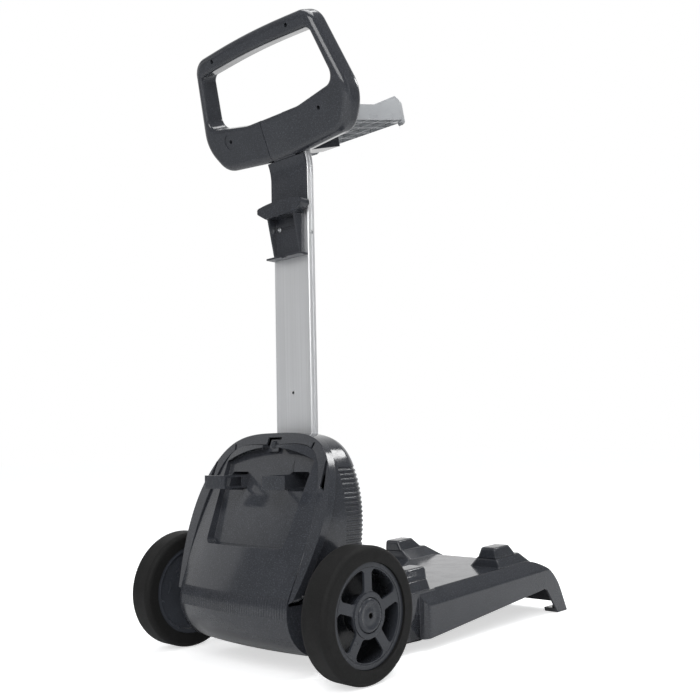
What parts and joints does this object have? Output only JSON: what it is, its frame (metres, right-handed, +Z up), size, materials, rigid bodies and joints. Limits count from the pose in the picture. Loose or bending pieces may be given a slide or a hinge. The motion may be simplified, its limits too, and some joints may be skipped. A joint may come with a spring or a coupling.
{
  "type": "pool robot caddy",
  "caption": "Two-wheeled transport caddy for a robotic pool cleaner: cradle deck, housing with cord cleats, flat mast with cord hook, loop handle and power supply tray.",
  "frame": {"origin": "middle of the footprint's box, on the floor", "axes": "+Z up, +Y forward from the wheels to the tip of the deck, +X to the right seen from behind the handle"},
  "size_m": [0.424, 0.704, 0.9654],
  "materials": {
    "charcoal_plastic": "moulded polypropylene, satin with a fine grain",
    "grey_plastic": "moulded polypropylene, satin",
    "rim_plastic": "moulded polypropylene, satin",
    "inner_plastic": "moulded nylon, matte",
    "tyre_foam": "moulded solid foam, matte",
    "anodised_aluminium": "natural anodised, satin along the extrusion",
    "bright_steel": "zinc plated",
    "dark_steel": "black oxide"
  },
  "bodies": {
    "chassis": {"base_deck": "charcoal_plastic", "housing_hood": "charcoal_plastic", "rear_cover": "charcoal_plastic", "cover_latch": "charcoal_plastic", "handle_rear_shell": "charcoal_plastic", "handle_front_shell": "charcoal_plastic", "neck_cover": "charcoal_plastic", "cord_hook": "charcoal_plastic", "tray_bracket": "charcoal_plastic", "power_supply_tray": "grey_plastic", "mast_socket": "inner_plastic", "wheel_spacers": "inner_plastic", "mast": "anodised_aluminium", "axle": "bright_steel", "push_nuts": "bright_steel", "mast_bolts": "bright_steel", "cord_hook_screws": "bright_steel", "socket_screws": "bright_steel", "hood_screws": "bright_steel", "cover_screws": "bright_steel", "tray_screws": "bright_steel", "handle_screws": "dark_steel"},
    "right_wheel": {"right_wheel_rim": "rim_plastic", "right_tyre": "tyre_foam", "right_hub_cap": "rim_plastic"},
    "left_wheel": {"left_wheel_rim": "rim_plastic", "left_tyre": "tyre_foam", "left_hub_cap": "rim_plastic"}
  },
  "joints": [
    {"name": "right_wheel_spin", "type": "hinge", "parent": "chassis", "child": "right_wheel", "pos_m": [0.19, -0.262, 0.09], "axis": [1, 0, 0], "continuous": true},
    {"name": "left_wheel_spin", "type": "hinge", "parent": "chassis", "child": "left_wheel", "pos_m": [-0.19, -0.262, 0.09], "axis": [1, 0, 0], "continuous": true}
  ]
}
